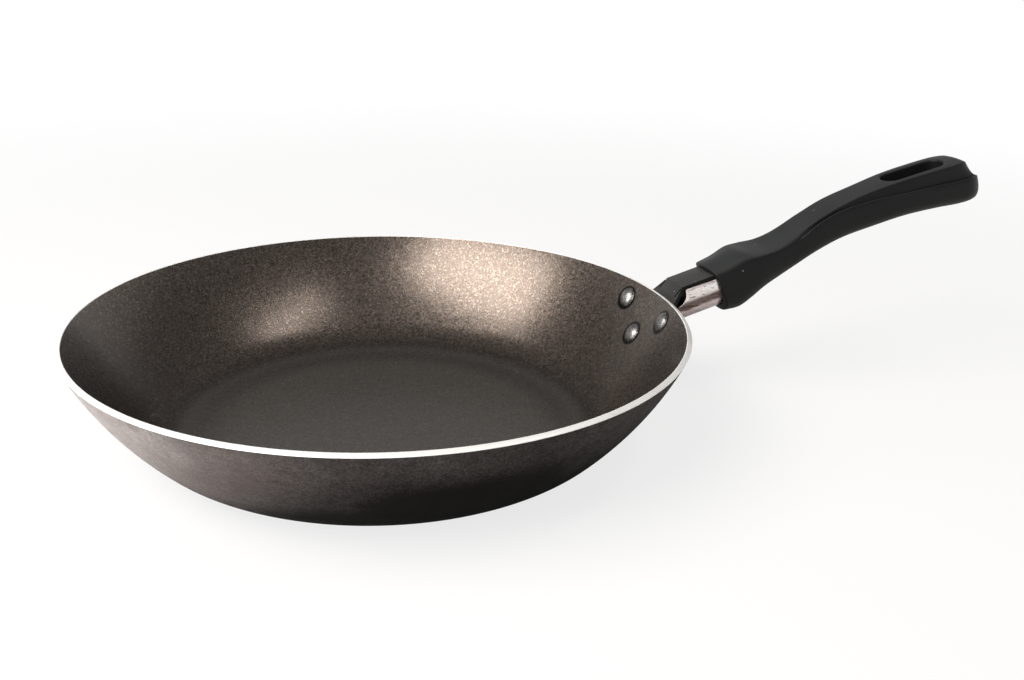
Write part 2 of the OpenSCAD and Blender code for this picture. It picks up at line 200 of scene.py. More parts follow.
class Finish:
    """The nodes of a material or a world, and the one method that adds a node to them."""

    def __init__(self, name, owner=None):
        self.owner = owner or bpy.data.materials.new(name)
        self.owner.use_nodes = True
        self.tree = self.owner.node_tree
        self.tree.nodes.clear()
        self.place = self.node("ShaderNodeTexCoord", out="Object")

    def node(self, kind, inputs=None, out=0, **settings):
        """Adds a node of a type, with values or links for its sockets, the output to use and its settings."""
        made = self.tree.nodes.new(kind)
        for key, value in settings.items():
            setattr(made, key, value)
        for key, value in (inputs or {}).items():
            if isinstance(value, Wire):
                self.tree.links.new(value.socket, made.inputs[key])
            else:
                made.inputs[key].default_value = value
        return Wire(self, made.outputs[out]) if made.outputs else None

    def vector(self, operation, a, b=None, out=0, **more):
        inputs = {0: a} if b is None else {0: a, 1: b}
        return self.node("ShaderNodeVectorMath", {**inputs, **more}, out, operation=operation)

    def along(self, direction, origin=(0, 0, 0)):
        """Distance of a surface point from origin, measured along direction."""
        moved = self.vector("SUBTRACT", self.place, tuple(origin))
        return self.vector("DOT_PRODUCT", moved, tuple(direction), out="Value")

    def along_normal(self, direction):
        """How far a surface faces a direction: 1 when it faces it fully."""
        facing = self.node("ShaderNodeTexCoord", None, "Normal")
        return self.vector("DOT_PRODUCT", facing, tuple(direction), out="Value")

    def radius(self):
        """Distance of a surface point from the pan's upright axis."""
        x, y = self.along((1, 0, 0)), self.along((0, 1, 0))
        return (x * x + y * y).power(0.5)

    def moved(self, offset):
        """Surface points moved by an offset, so that a noise on them differs from the others."""
        return self.vector("ADD", self.place, offset)

    def channel(self, colour, index):
        """One channel of a colour, as a random value of its own."""
        return self.node("ShaderNodeSeparateColor", {0: colour}, index)

    def distance(self, point):
        """Distance of a surface point from a point."""
        return self.vector("DISTANCE", self.place, tuple(point), out="Value")

    def noise(self, scale, detail=2.0, roughness=0.5, place=None, distortion=0.0):
        inputs = {"Vector": place or self.place, "Scale": scale, "Detail": detail, "Roughness": roughness}
        return self.node("ShaderNodeTexNoise", {**inputs, "Distortion": distortion})

    def cells(self, scale, out="Distance"):
        """Distance from the centre of a cell, or a random colour of its own with out="Color"."""
        return self.node("ShaderNodeTexVoronoi", {"Vector": self.place, "Scale": scale}, out)

    def mix(self, share, a, b):
        """Colour a where share is 0 and b where it is 1."""
        inputs = {0: share, 6: as_rgba(a), 7: as_rgba(b)}
        return self.node("ShaderNodeMix", inputs, 2, data_type="RGBA")

    def bump(self, height, distance, strength=1.0, normal=None):
        inputs = {"Height": height, "Distance": distance, "Strength": strength}
        if normal:
            inputs["Normal"] = normal
        return self.node("ShaderNodeBump", inputs, "Normal")

    def shader(self, **sockets):
        """Ends the finish in a Principled shader. Underscores in the names stand for spaces."""
        inputs = {key.replace("_", " "): value for key, value in sockets.items()}
        return self.end(self.node("ShaderNodeBsdfPrincipled", inputs, "BSDF"))

    def end(self, surface, kind="ShaderNodeOutputMaterial"):
        self.node(kind, {"Surface": surface})
        return self.owner

    def seen(self, camera, glossy, through):
        """Shares for what the camera sees directly, in a gloss and through glass."""
        path = self.node("ShaderNodeLightPath", None, "Is Camera Ray") * camera
        path = path + self.node("ShaderNodeLightPath", None, "Is Glossy Ray") * glossy
        return (path + self.node("ShaderNodeLightPath", None, "Is Transmission Ray") * through).clamp()


def as_rgba(value):
    """A colour with its alpha, or a Wire as it is."""
    return value if isinstance(value, Wire) else (*value[:3], 1.0)


def scaled(value, factor):
    """A lighter or darker colour."""
    return tuple(min(1.0, factor * c) for c in value)


# ---------- mesh helpers ----------


def placed(name, data):
    """A new object in the scene."""
    made = bpy.data.objects.new(name, data)
    bpy.context.scene.collection.objects.link(made)
    return made


def placed_mesh(name, mesh_data):
    """A new object made of a bmesh, which it uses up."""
    mesh = bpy.data.meshes.new(name)
    mesh_data.to_mesh(mesh)
    mesh_data.free()
    return placed(name, mesh)


def show(mesh_data, name, replaced, materials, sharp):
    """Makes a piece of a bmesh, with smooth faces and sharp edges past an angle in degrees."""
    for face in mesh_data.faces:
        face.smooth = True
    for edge in mesh_data.edges:
        edge.smooth = len(edge.link_faces) != 2 or edge.calc_face_angle(0) <= math.radians(sharp)
    piece = placed_mesh(name, mesh_data)
    for material in materials:
        piece.data.materials.append(material)
    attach(piece, "root")
    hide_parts(*replaced)


def arc(centre, radius, start, end, count):
    """Points (radius, height) of an arc, from one slope to another."""
    return [
        (centre[0] + radius * math.sin(a), centre[1] - radius * math.cos(a))
        for a in (start + (end - start) * i / count for i in range(count + 1))
    ]


def lathe(profile, steps):
    """Spins a profile of (radius, height) points about Z, and returns the bmesh."""
    made = bmesh.new()
    line = [made.verts.new((r, 0, z)) for r, z in profile]
    edges = [made.edges.new(pair) for pair in zip(line, line[1:])]
    turn = {"cent": (0, 0, 0), "axis": (0, 0, 1), "angle": 2 * math.pi}
    bmesh.ops.spin(made, geom=line + edges, steps=steps, use_merge=True, **turn)
    bmesh.ops.remove_doubles(made, verts=made.verts, dist=1e-7)
    bmesh.ops.recalc_face_normals(made, faces=made.faces)
    return made


def profile_of(bowl):
    """Centre and radius of the wall's arc, centre of the corner's arc, and radius of the base."""
    cos_c, sin_c = math.cos(bowl.corner_slope), math.sin(bowl.corner_slope)
    cos_r, sin_r = math.cos(bowl.rim_slope), math.sin(bowl.rim_slope)
    wall_r = (bowl.rim_height - bowl.corner_radius * (1 - cos_c)) / (cos_c - cos_r)
    base_r = bowl.rim_radius - bowl.corner_radius * sin_c - wall_r * (sin_r - sin_c)
    wall_c = (bowl.rim_radius - wall_r * sin_r, bowl.rim_height + wall_r * cos_r)
    return wall_c, wall_r, (base_r, bowl.corner_radius), base_r


def cad_copy(node, edge):
    """A merged copy of a CAD node's mesh with rounded edges."""
    flat, sharp = math.radians(1.5), math.radians(28)
    made = bmesh.new()
    made.from_mesh(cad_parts[node].data)
    bmesh.ops.remove_doubles(made, verts=made.verts, dist=2e-6)
    bmesh.ops.dissolve_limit(made, angle_limit=flat, verts=made.verts, edges=made.edges)
    corners = [e for e in made.edges if len(e.link_faces) == 2 and e.calc_face_angle(0) > sharp]
    bmesh.ops.bevel(
        made,
        geom=corners,
        offset=edge,
        affect="EDGES",
        segments=2,
        profile=0.5,
        clamp_overlap=True,
        material=-1,
    )
    return made


# ---------- finishes ----------


def coating_finish(colours, bowl):
    """Dark metallic coating: greyer on the floor, with painted shade in the rear bend and at the far left,
    and a painted shadow ring below each rivet.
    """
    f = Finish("non_stick_coating")
    radius = f.radius()
    flecks = f.cells(1500, "Color")
    grain, second = f.channel(flecks, 0), f.channel(flecks, 1)
    clouds, blotches = f.noise(14, 4, 0.6), f.noise(55, 3, 0.6)
    floor = radius.step(0.099, 0.090)
    sheen = f.mix(second, scaled(colours.fleck, 0.58), scaled(colours.fleck, 1.24))
    sheen = f.mix(second.step(0.75, 0.95) * 0.6, sheen, colours.rosy_fleck)
    sheen = f.mix(grain.power(6.0) * 0.8, sheen, scaled(colours.fleck, 2.2))
    base = f.mix(floor * 0.45 + 0.2 * (blotches - 0.5), sheen, colours.worn_floor)
    # Painted shade: the coating is darkened towards black in the bend between floor and wall, most at the
    # rear, and on the far left wall
    bend = radius.step(0.102, 0.0945) * radius.step(0.070, 0.088)
    rear = f.along((0.5, 0.86, 0)).step(-0.09, 0.05)
    far_left = (f.along((-1, 0.1, 0)) / radius).step(0.80, 1.0) * radius.step(0.098, 0.116)
    painted_shade = (0.04 + 0.30 * rear) * bend + 0.22 * far_left + 0.1 * (clouds - 0.5)
    base = f.mix(painted_shade, base, colours.soot_and_shade)
    base = f.mix(coating_wear(f), base, colours.chip)
    # Painted shadow: a dark ring in the coating below each rivet's head
    base = f.mix(rivet_shadow_rings(f, bowl), base, colours.soot_and_shade)
    rough = 0.28 + 0.05 * (clouds - 0.5) + 0.10 * (second - 0.5)
    relief = f.bump(grain * 0.6 + f.noise(2600, 2) * 0.4, 0.00003, 0.6)
    relief = f.bump(f.noise(120, 2), 0.00012, 0.25, relief)
    metal, rough = 0.92 - 0.22 * floor, rough.clamp()
    return f.shader(Base_Color=base, Metallic=metal, Roughness=rough, Normal=relief, Specular_IOR_Level=0.3)


def stroke(f, start, end, width):
    """1 along a thin line between two points, 0 away from it."""
    start, end = Vector(start), Vector(end)
    reach = (end - start).length
    way = (end - start) / reach
    past = f.along(way, start)
    nearest = f.vector("SCALE", tuple(way), None, Scale=past.at_least(0.0).at_most(reach))
    nearest = f.vector("ADD", nearest, tuple(start))
    return f.vector("DISTANCE", f.place, nearest, out="Value").step(width, width * 0.45)


# The chip in the coating: start, end and width of each of its two strokes
CHIP_STROKES = (
    ((-0.1030, 0.0215, 0.0100), (-0.1005, 0.0262, 0.0086), 0.0007),
    ((-0.1005, 0.0262, 0.0086), (-0.0968, 0.0226, 0.0062), 0.0006),
)


def coating_wear(f):
    """Pale chips in the coating: one that is larger, and sparse small ones."""
    patchy = f.noise(1400, 2).step(0.42, 0.52)
    chip = sum(stroke(f, *place) for place in CHIP_STROKES)
    few = f.channel(f.cells(230, "Color"), 0).step(0.93, 0.95)
    dots = f.cells(230).step(0.13, 0.07) * few
    return (chip * patchy * 0.7 + dots * 0.35).clamp()


def rivet_shadow_rings(f, bowl):
    """Painted shadow: a dark ring round each rivet's head, a little below its centre."""
    rings = 0
    for name in RIVET_DROPS:
        spot = rivet_frame(bowl, name) @ Vector((0, 0, -bowl.sheet)) - Vector((0, 0, 0.0005))
        rings = f.distance(spot).step(0.0069, 0.0058) + rings
    return rings.clamp()


def rim_finish(colours):
    """Bare cut edge with the fine lines of turning."""
    f = Finish("turned_rim")
    x, y = f.along((1, 0, 0)), f.along((0, 1, 0))
    stretched = f.node("ShaderNodeCombineXYZ", {0: f.radius() * 9000, 1: x * 25, 2: y * 25})
    lines = f.noise(1.0, 2, place=stretched)
    dull = f.noise(60, 3, 0.6)
    base = f.mix(dull.step(0.5, 0.75) * 0.5, colours.bare, scaled(colours.bare, 0.72))
    rough = 0.24 + 0.16 * lines + 0.12 * dull
    return f.shader(Base_Color=base, Metallic=0.35, Roughness=rough, Normal=f.bump(lines, 0.00001, 0.4))


def outer_finish(colours):
    """Faded paint with rosy and brown marks, under soot that is heaviest low down and to the front right,
    with painted shade that darkens it further towards the base.
    """
    f = Finish("scorched_wall")
    z, radius = f.along((0, 0, 1)), f.radius()
    clouds = f.noise(20, 5, 0.62, distortion=0.4)
    mottle, grains = f.noise(75, 5, 0.68), f.noise(900, 2)
    marks = f.noise(260, 4, 0.7, place=f.moved((0.5, 0.7, 0.1)))
    fine = f.channel(f.cells(1700, "Color"), 0)
    burnt_side = (f.along((0.62, -0.78, 0.0)) / radius).step(-0.35, 0.60)
    front = (f.along((0.03, -1.0, 0.0)) / radius).step(0.93, 0.99)
    low = (z + 0.008 * (clouds - 0.5)).step(0.048, 0.010)
    soot_and_shade = burnt_side * 0.88 + low * (0.36 - 0.16 * burnt_side + 0.35 * front)
    # Painted shade: an extra darkening towards the base, on top of the soot
    soot_and_shade = soot_and_shade + 0.20 * (z + 0.006 * (mottle - 0.5)).step(0.024, 0.006)
    soot_and_shade = soot_and_shade + 0.24 * (clouds - 0.5) + 0.13 * (mottle - 0.5) + 0.10 * (marks - 0.45)
    soot_and_shade = (soot_and_shade + 0.10 * (fine - 0.5)).step(-0.05, 1.12)
    paint = f.mix(mottle.step(0.3, 0.7), scaled(colours.wall_paint, 0.75), scaled(colours.wall_paint, 1.25))
    rosy = f.noise(30, 3, 0.5, place=f.moved((0.9, 0.2, 0.4))).step(0.4, 0.65)
    paint = f.mix(rosy * 0.5, paint, colours.rosy_paint)
    paint = f.mix(fine * 0.30, paint, scaled(colours.wall_paint, 0.30))
    brown = f.noise(33, 4, 0.6, place=f.moved((0.3, 0.1, 0.7))).step(0.42, 0.62)
    paint = f.mix(brown * marks.step(0.45, 0.7) * 0.7, paint, colours.brown_mark)
    base = f.mix(soot_and_shade, paint, colours.soot_and_shade)
    base = f.mix((soot_and_shade * (1 - soot_and_shade) * 1.6).clamp(), base, colours.scorch)
    metal = (0.45 * (1 - soot_and_shade) + 0.05 * (grains - 0.5)).clamp()
    rough = (0.40 + 0.25 * soot_and_shade + 0.12 * (mottle - 0.5)).clamp()
    rings = f.noise(1.0, 2, place=f.node("ShaderNodeCombineXYZ", {0: radius * 700, 1: 0.0, 2: 0.0}))
    underside = z.step(0.0016, 0.0004)
    relief = f.bump(mottle * 0.5 + grains * 0.2 + rings * underside, 0.00012, 0.5)
    return f.shader(Base_Color=base, Metallic=metal, Roughness=rough, Normal=relief, Specular_IOR_Level=0.04)


def rivet_finish(colours):
    """Stained aluminium, darkened at the edge of the head by dirt and painted shade."""
    f = Finish("rivet_aluminium")
    from_centre = f.node("ShaderNodeAttribute", None, "Fac", attribute_name="from_centre")
    stain = f.noise(520, 4, 0.7)
    # Dirt and painted shade: the head darkens towards its edge
    dirt_and_shade = (from_centre.step(0.72, 0.96) + (stain - 0.5) * 2.6).clamp()
    base = f.mix(stain.step(0.35, 0.7), scaled(colours.bare, 0.40), scaled(colours.bare, 0.17))
    base = f.mix(dirt_and_shade * 0.9, base, colours.grime_and_shade)
    relief = f.bump(f.noise(1600, 2), 0.00002, 0.5)
    return f.shader(Base_Color=base, Metallic=1 - 0.5 * dirt_and_shade, Roughness=0.30 + 0.14 * stain, Normal=relief)


# The short slits in the bracket's bend, painted as black lines of shadow: start, end and width
SLIT_SHADOWS = (
    ((0.1420, 0.0100, 0.0580), (0.1490, 0.0100, 0.0600), 0.0008),
    ((0.1420, -0.0060, 0.0580), (0.1490, -0.0078, 0.0600), 0.0008),
)


def bracket_finish(colours):
    """Black paint with chips, dust and painted light on top, painted shadow on the near side and painted
    shadow in the slits of the bend.
    """
    f = Finish("bracket_paint")
    pick = f.channel(f.cells(700, "Color"), 0)
    chip = f.cells(700).step(0.30, 0.20) * pick.step(0.95, 0.97)
    haze = f.noise(90, 4, 0.6)
    slit_shadows = sum(stroke(f, *place) for place in SLIT_SHADOWS).clamp()
    upward = f.along_normal((0, 0, 1)).step(0.45, 0.95)
    # Painted shadow on the faces that look to the near side, where the arm meets the guard
    flank_shadow = f.along_normal((0, -1, 0)).step(0.45, 0.85)
    base = f.mix(haze, scaled(colours.bracket_paint, 0.8), scaled(colours.bracket_paint, 1.7))
    base = f.mix(chip * 0.8, base, colours.primer)
    # Painted shadow in the slits
    base = f.mix(slit_shadows, base, colours.slit_shadow)
    # Dust and painted light: the faces that look up are made paler
    base = f.mix(upward * 0.45, base, colours.bracket_dust_and_light)
    base = f.mix(flank_shadow * 0.85, base, colours.flank_shadow)
    metal = chip * 0.8
    rough = (0.40 + 0.16 * haze + 0.4 * (slit_shadows + flank_shadow)).clamp()
    relief = f.bump(f.noise(1300, 2) * 0.5 + chip * -1.0, 0.00003, 0.6)
    relief = f.bump(1 - slit_shadows, 0.0004, 0.8, relief)
    return f.shader(Base_Color=base, Metallic=metal, Roughness=rough, Normal=relief, Specular_IOR_Level=0.3)


def guard_finish(colours, handle):
    """Plating with a painted highlight near the top, a painted dark reflection band below it, a painted rosy
    reflection low down and a painted highlight on the cut edge, with tarnish in streaks and pits all over.
    """
    f = Finish("tarnished_plating")
    across = (-math.sin(handle.tilt), 0, math.cos(handle.tilt))
    turn = {"Vector": f.place, "Scale": (0.25, 1, 1), "Rotation": (0, handle.tilt, 0)}
    stretched = f.node("ShaderNodeMapping", turn, vector_type="POINT")
    streak = f.noise(420, 4, 0.65, place=stretched)
    blotch = f.noise(160, 4, 0.6, place=stretched)
    pits = f.noise(1000, 3, 0.6, place=f.vector("ADD", stretched, (0.3, 0.6, 0.2)))
    pit = (pits + 0.25 * (blotch - 0.5)).step(0.60, 0.66)
    depth = f.along(across, (handle.bend_x, 0, handle.bend_z))
    depth = depth + (streak - 0.5) * 0.002 + (blotch - 0.5) * 0.001
    # Painted reflection: a dark band along the middle of the guard's side
    dark_reflection_band = depth.step(-0.0130, -0.0104) * depth.step(-0.0064, -0.0086)
    # Painted highlight: a bright band high on the guard's side
    painted_highlight = depth.step(-0.0078, -0.0058) * depth.step(-0.0016, -0.0030)
    edge = f.along_normal((-1.0, 0, 0)).step(0.25, 0.5)
    # The tint mixes that painted dark reflection band with real tarnish in pits, streaks and blotches
    tint = (dark_reflection_band * 0.85 + pit * 0.75 + streak.step(0.55, 0.72) * 0.4 + blotch.step(0.52, 0.7) * 0.12).clamp()
    base = f.mix(streak, colours.plating, f.mix(0.6, colours.plating, colours.worn_plating))
    base = f.mix(painted_highlight * 0.8, base, colours.highlight_plating)
    # Painted reflection: the guard's lower side is made darker and rosier
    base = f.mix(depth.step(-0.0118, -0.0136) * 0.5, base, colours.rosy_low_reflection)
    base = f.mix(tint, base, colours.tarnish_and_reflection)
    # Painted highlight: the guard's cut front edge is made nearly white and matt
    base = f.mix(edge * (0.6 + 0.4 * streak), base, colours.cut_edge_highlight)
    tint = tint * (1 - edge)
    rough = (0.26 + 0.22 * tint + 0.15 * (streak - 0.5)).clamp()
    relief = f.bump(streak * 0.5 - pit * 0.5, 0.00006, 0.5)
    return f.shader(Base_Color=base, Metallic=1 - 0.35 * tint - 0.9 * edge, Roughness=rough, Normal=relief)


def grip_finish(colours):
    """Satin plastic with dust and painted light on the faces that look up, and a few pale specks."""
    f = Finish("moulded_grip")
    haze, grain = f.noise(40, 4, 0.6), f.noise(1100, 3, 0.6)
    pick = f.channel(f.cells(320, "Color"), 0)
    speck = f.cells(320).step(0.20, 0.10) * pick.step(0.982, 0.986)
    upward = f.along_normal((0, 0, 1)).step(0.35, 0.95)
    base = f.mix(haze, scaled(colours.grip, 0.85), scaled(colours.grip, 1.25))
    # Dust and painted light: the faces that look up are made much paler
    base = f.mix(upward * (0.35 + 0.5 * haze), base, scaled(colours.grip, 6.0))
    base = f.mix(speck * 0.5, base, colours.speck)
    rough = 0.44 + 0.12 * (haze - 0.5) + 0.10 * (grain - 0.5)
    relief = f.bump(grain, 0.00003, 0.5)
    relief = f.bump(f.noise(150, 2), 0.0001, 0.2, relief)
    return f.shader(Base_Color=base, Roughness=rough, Normal=relief, Specular_IOR_Level=0.15)


def zinc_finish(colours):
    """Dull zinc with stains."""
    f = Finish("zinc_plating")
    stain = f.noise(300, 4, 0.6)
    base = f.mix(stain.step(0.4, 0.75), colours.zinc, scaled(colours.zinc, 0.45))
    relief = f.bump(f.noise(2000, 2), 0.00002, 0.5)
    return f.shader(Base_Color=base, Metallic=1.0, Roughness=0.3 + 0.3 * stain, Normal=relief)


# ---------- pieces ----------


class PAN_OT_bowl(bpy.types.Operator):
    """Spins the bowl, with the coating inside, the turned rim and the scorched wall outside"""

    bl_idname = "pan.bowl"
    bl_label = "Bowl"

    def execute(self, context):
        bowl, colours = context.scene.pan_sizes, context.scene.pan_finish
        made = lathe(self.outline(bowl), steps=256)
        wall_c, wall_r, _, _ = profile_of(bowl)
        land_slope = bowl.rim_slope - 1.2 * bowl.rim_round / wall_r
        for face in made.faces:
            centre = face.calc_center_median()
            from_wall = Vector((math.hypot(centre.x, centre.y) - wall_c[0], centre.z - wall_c[1]))
            if math.atan2(from_wall.x, -from_wall.y) > land_slope:
                face.material_index = 1
            else:
                face.material_index = 2 if face.normal.z < 0 else 0
        finishes = [coating_finish(colours, bowl), rim_finish(colours), outer_finish(colours)]
        show(made, "bowl", ["pan_body"], finishes, sharp=40)
        return {"FINISHED"}

    def outline(self, bowl):
        """Points (radius, height) of the bowl's section, up the inside, over the rim and down the outside."""
        wall_c, wall_r, corner_c, base_r = profile_of(bowl)
        sheet, edge, rim = bowl.sheet, bowl.rim_round, bowl.rim_slope
        turn = edge / wall_r

        def at(radius, slope):
            return arc(wall_c, radius, slope, slope, 1)[0]

        floor = [base_r * i / 8 for i in range(8)]
        inside = [(r, sheet) for r in floor]
        inside += arc(corner_c, bowl.corner_radius - sheet, 0, bowl.corner_slope, 16)
        inside += arc(wall_c, wall_r - sheet, bowl.corner_slope, rim, 40)[1:-1]
        inside += arc(wall_c, wall_r - sheet, rim - 2 * turn, rim - turn, 1)
        outside = arc(wall_c, wall_r, rim - turn, rim - 2 * turn, 1)
        outside += arc(wall_c, wall_r, rim, bowl.corner_slope, 40)[1:]
        outside += arc(corner_c, bowl.corner_radius, bowl.corner_slope, 0, 16)[1:]
        outside += [(r, 0) for r in reversed(floor)]
        land = [at(wall_r - sheet + edge + (sheet - 2 * edge) * i / 4, rim) for i in range(5)]
        inner_round, outer_round = [], []
        for i in range(1, 5):
            c, s = math.cos(math.pi / 2 * i / 5), math.sin(math.pi / 2 * i / 5)
            inner_round.append(at(wall_r - sheet + edge * (1 - c), rim - turn * (1 - s)))
            outer_round.append(at(wall_r - edge * (1 - s), rim - turn * (1 - c)))
        return inside + inner_round + land + outer_round + outside


def on_wall(bowl, azimuth, drop):
    """Frame on the outer wall: +Z out of the bowl, origin on the surface."""
    wall_c, wall_r, _, _ = profile_of(bowl)
    slope = bowl.rim_slope - drop / wall_r
    point = Vector((wall_c[0] + wall_r * math.sin(slope), 0, wall_c[1] - wall_r * math.cos(slope)))
    turn = Matrix.Rotation(azimuth, 4, "Z")
    return turn @ Matrix.Translation(point) @ Matrix.Rotation(math.pi - slope, 4, "Y")


def rivet_frame(bowl, name):
    """Frame of a rivet on the outer wall, in the direction of its CAD node."""
    low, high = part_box("rivet_" + name)
    centre = (low + high) / 2
    return on_wall(bowl, math.atan2(centre.y, centre.x), RIVET_DROPS[name])


class PAN_OT_rivets(bpy.types.Operator):
    """Spins the three rivets, each with a low dome inside and a flattened tail outside"""

    bl_idname = "pan.rivets"
    bl_label = "Rivets"

    def execute(self, context):
        bowl, colours = context.scene.pan_sizes, context.scene.pan_finish
        finish = rivet_finish(colours)
        for name in RIVET_DROPS:
            made = lathe(self.dome(bowl) + self.tail(bowl), steps=48)
            layer = made.verts.layers.float.new("from_centre")
            for vert in made.verts:
                vert[layer] = math.hypot(vert.co.x, vert.co.y) / (bowl.rivet_head / 2)
            bmesh.ops.transform(made, matrix=rivet_frame(bowl, name), verts=made.verts)
            show(made, f"rivet_{name}_dome", [f"rivet_{name}"], [finish], sharp=40)
        return {"FINISHED"}

    def dome(self, bowl):
        """Outline of the head: a shallow dome that ends in a small round edge."""
        head, rise, base = bowl.rivet_head / 2, bowl.rivet_rise, -bowl.sheet - bowl.rivet_gap
        radius = (head**2 + rise**2) / (2 * rise)
        points = []
        for i in range(15):
            a = math.asin(head / radius) * i / 14 * 0.93
            points.append((radius * math.sin(a), base - rise + radius * (1 - math.cos(a))))
        r, z = points[-1]
        points.append((r + (head - r) * 0.75, z + (base - z) * 0.45))
        return [*points, (head, base - 0.00012), (head - 0.0001, base)]

    def tail(self, bowl):
        """Outline of the shank and the flattened tail, down to the tail's centre."""
        shank, tail, base = bowl.rivet_shank / 2, bowl.rivet_tail / 2, bowl.plate + bowl.rivet_gap
        rounding = [(0.2, 0.0), (0.0, 0.3), (0.0, 0.9), (0.3, 1.3), (0.9, 1.5), (1.6, 1.6)]
        points = [(shank, -bowl.sheet - bowl.rivet_gap), (shank, base)]
        points += [(tail - inward * MM, base + up * MM) for inward, up in rounding]
        return [*points, (0, base + 1.6 * MM)]


class PAN_OT_bracket(bpy.types.Operator):
    """Rounds the edges of the bracket and paints it black"""

    bl_idname = "pan.bracket"
    bl_label = "Bracket"

    def execute(self, context):
        handle, colours = context.scene.handle_sizes, context.scene.pan_finish
        made = cad_copy("bracket", handle.edge_wear)
        show(made, "bracket_sheet", ["bracket"], [bracket_finish(colours)], sharp=50)
        return {"FINISHED"}


class PAN_OT_guard(bpy.types.Operator):
    """Rounds the edges of the flame guard and gives it tarnished plating"""

    bl_idname = "pan.guard"
    bl_label = "Flame guard"

    def execute(self, context):
        handle, colours = context.scene.handle_sizes, context.scene.pan_finish
        made = cad_copy("flame_guard", handle.guard_edge)
        finish = guard_finish(colours, handle)
        show(made, "guard_trough", ["flame_guard"], [finish], sharp=50)
        return {"FINISHED"}


# Stations along the grip. Each has its share of the grip's length and then, in millimetres: the rise of the
# top above the arm, the height, the half width, the half width and crown of the land on top, the half width
# of the ridge along the side, how far that lies below the top, and the depth of the groove above it
COLUMNS = ("share", "rise", "height", "width", "land", "crown", "ridge", "ridge_drop", "groove")
STATIONS = [
    (0.000, 3.0, 24.5, 12.5, 9.5, 1.6, 12.1, 4.5, 0.0),
    (0.055, 4.2, 26.5, 13.3, 9.5, 1.8, 12.5, 5.0, 0.0),
    (0.110, 5.2, 25.0, 13.7, 10.5, 1.0, 12.8, 4.0, 0.0),
    (0.160, 3.6, 20.5, 13.4, 12.0, 0.3, 12.8, 2.0, 0.0),
    (0.220, 2.5, 17.1, 12.2, 11.0, 0.0, 11.5, 1.2, 0.0),
    (0.280, 4.1, 16.5, 11.5, 9.0, 0.0, 9.9, 1.0, 0.3),
    (0.370, 8.2, 17.1, 11.5, 8.5, 0.0, 10.0, 1.3, 0.9),
    (0.465, 11.5, 18.2, 11.8, 8.5, 0.0, 10.5, 1.7, 0.9),
    (0.575, 13.2, 19.7, 12.5, 8.2, 0.2, 11.3, 3.7, 0.9),
    (0.695, 13.7, 20.5, 13.4, 9.5, 0.3, 13.0, 6.1, 0.9),
    (0.815, 13.0, 22.0, 14.0, 10.2, 0.4, 13.0, 7.7, 0.9),
    (0.900, 12.1, 23.4, 14.0, 10.2, 0.5, 13.0, 8.5, 0.9),
    (1.000, 10.3, 22.8, 14.0, 9.7, 0.5, 13.0, 8.5, 0.9),
]


# Lengths over which the tail's end rounds off, in millimetres: its top and underside, and its sides
TAIL_DEPTH, TAIL_TURN = 6.5, 14
# The socket for the flame guard, in millimetres: its radius, the heights of its centre and of its flat top
# against the arm, and how far it reaches past the mouth
SOCKET_RADIUS, SOCKET_CENTRE, SOCKET_TOP, SOCKET_REACH = 10.3, -8.9, -1.1, 13.3
# The pocket for the bracket's arm: its half width, the heights of its floor and its top, and where it ends
POCKET_HALF, POCKET_FLOOR, POCKET_TOP, POCKET_END = 8.3, -8, 0.3, 52.3
# The heights between which the screw's hole and the recess for its head are cut
HOLE_HEIGHTS, RECESS_HEIGHTS = (-13, -7), (-32, -12)
# Where the socket and the pocket start, well before the mouth
BEFORE_MOUTH = -5


def station(share, name):
    """A value of the stations at a share of the length, on a smooth curve through the rows."""
    column = COLUMNS.index(name)

    def slope(i):
        before, after = STATIONS[max(i - 1, 0)], STATIONS[min(i + 1, len(STATIONS) - 1)]
        return (after[column] - before[column]) / (after[0] - before[0])

    i = max(k for k in range(len(STATIONS) - 1) if k == 0 or share >= STATIONS[k][0])
    row, following = STATIONS[i], STATIONS[i + 1]
    span = following[0] - row[0]
    u = (share - row[0]) / span
    a, b = row[column], following[column]
    sa, sb = slope(i) * span, slope(i + 1) * span
    return a + u * (sa + u * (3 * (b - a) - 2 * sa - sb + u * (2 * (a - b) + sa + sb)))


def round_off(left, radius):
    """Share left at a distance before the end of a rounding."""
    return 1.0 if left >= radius else math.sqrt(max(0.0, 1 - ((radius - left) / radius) ** 2))


def smooth_share(value):
    """0 below 0 and 1 above 1, smooth between."""
    value = min(max(value, 0.0), 1.0)
    return value * value * (3 - 2 * value)


def shouldered(points, first, side, share):
    """Moves the points from first on towards a plain round shoulder that ends at side."""
    x0, z0 = points[first - 1]
    count = len(points) - first
    made = points[:first]
    for i, (x, z) in enumerate(points[first:], 1):
        turn = math.pi / 2 * i / (count + 1)
        soft_x = x0 + (side[0] - x0) * math.sin(turn) ** 0.85
        soft_z = z0 - (z0 - side[1]) * (1 - math.cos(turn) ** 0.85)
        made.append((x + (soft_x - x) * share, z + (soft_z - z) * share))
    return made


